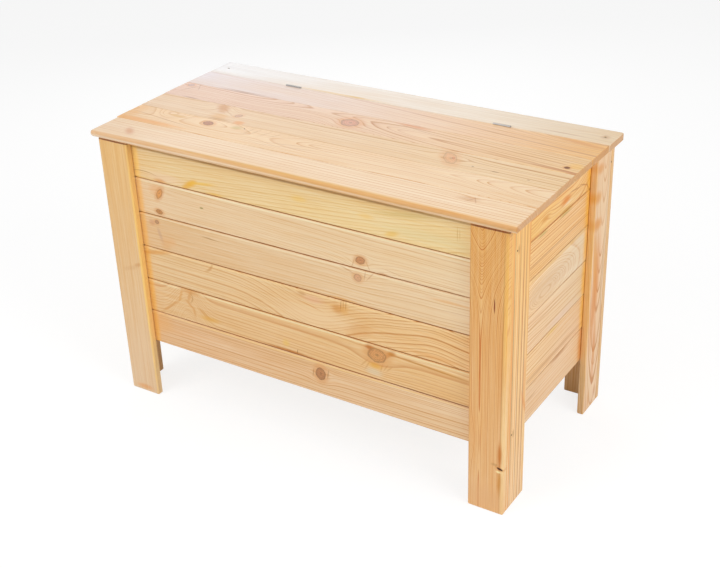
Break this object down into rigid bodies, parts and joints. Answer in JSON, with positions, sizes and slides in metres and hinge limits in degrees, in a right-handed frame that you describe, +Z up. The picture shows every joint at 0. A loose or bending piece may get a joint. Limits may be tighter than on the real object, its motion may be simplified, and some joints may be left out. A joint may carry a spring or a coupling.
{
  "type": "storage chest",
  "caption": "Free-standing pine plank chest on four board posts, with a deep inside under a wide plank lid on butt hinges.",
  "frame": {"origin": "on the floor, in the middle of the overall box", "axes": "+X along the chest to its right end as seen from the front, +Y towards its back, +Z up; the front faces -Y"},
  "size_m": [1, 0.495, 0.6471],
  "materials": {
    "pine_posts": "clear satin lacquer",
    "pine_walls": "clear satin lacquer",
    "pine_lid": "clear satin lacquer",
    "pine_inside": "bare planed wood",
    "hinge_steel": "bright zinc plate",
    "screw_steel": "dulled plate"
  },
  "bodies": {
    "carcass": {"front_left_post_face": "pine_posts", "front_left_post_side": "pine_posts", "rear_left_post_face": "pine_posts", "rear_left_post_side": "pine_posts", "front_right_post_face": "pine_posts", "front_right_post_side": "pine_posts", "rear_right_post_face": "pine_posts", "rear_right_post_side": "pine_posts", "front_plank_1": "pine_walls", "front_plank_2": "pine_walls", "front_plank_3": "pine_walls", "front_plank_4": "pine_walls", "front_plank_5": "pine_walls", "front_plank_6": "pine_walls", "back_plank_1": "pine_walls", "back_plank_2": "pine_walls", "back_plank_3": "pine_walls", "back_plank_4": "pine_walls", "back_plank_5": "pine_walls", "back_plank_6": "pine_walls", "left_plank_1": "pine_walls", "left_plank_2": "pine_walls", "left_plank_3": "pine_walls", "left_plank_4": "pine_walls", "left_plank_5": "pine_walls", "left_plank_6": "pine_walls", "right_plank_1": "pine_walls", "right_plank_2": "pine_walls", "right_plank_3": "pine_walls", "right_plank_4": "pine_walls", "right_plank_5": "pine_walls", "right_plank_6": "pine_walls", "bottom_bearer_left": "pine_inside", "bottom_bearer_middle": "pine_inside", "bottom_bearer_right": "pine_inside", "bottom_board_1": "pine_inside", "bottom_board_2": "pine_inside", "bottom_board_3": "pine_inside", "bottom_board_4": "pine_inside", "bottom_board_5": "pine_inside", "rear_top_board": "pine_lid", "hinge_left_fixed_leaf": "hinge_steel", "hinge_right_fixed_leaf": "hinge_steel", "hinge_left_pin": "hinge_steel", "hinge_right_pin": "hinge_steel", "rear_board_screw_left": "screw_steel", "rear_board_screw_right": "screw_steel"},
    "lid": {"lid_board_1": "pine_lid", "lid_board_2": "pine_lid", "lid_board_3": "pine_lid", "lid_board_4": "pine_lid", "lid_board_5": "pine_lid", "lid_batten_left": "pine_inside", "lid_batten_middle": "pine_inside", "lid_batten_right": "pine_inside", "hinge_left_lid_leaf": "hinge_steel", "hinge_right_lid_leaf": "hinge_steel"}
  },
  "joints": [
    {"name": "lid_hinge", "type": "hinge", "parent": "carcass", "child": "lid", "pos_m": [0, 0.1715, 0.6448], "axis": [-1, 0, 0], "range_deg": [0, 180]}
  ]
}
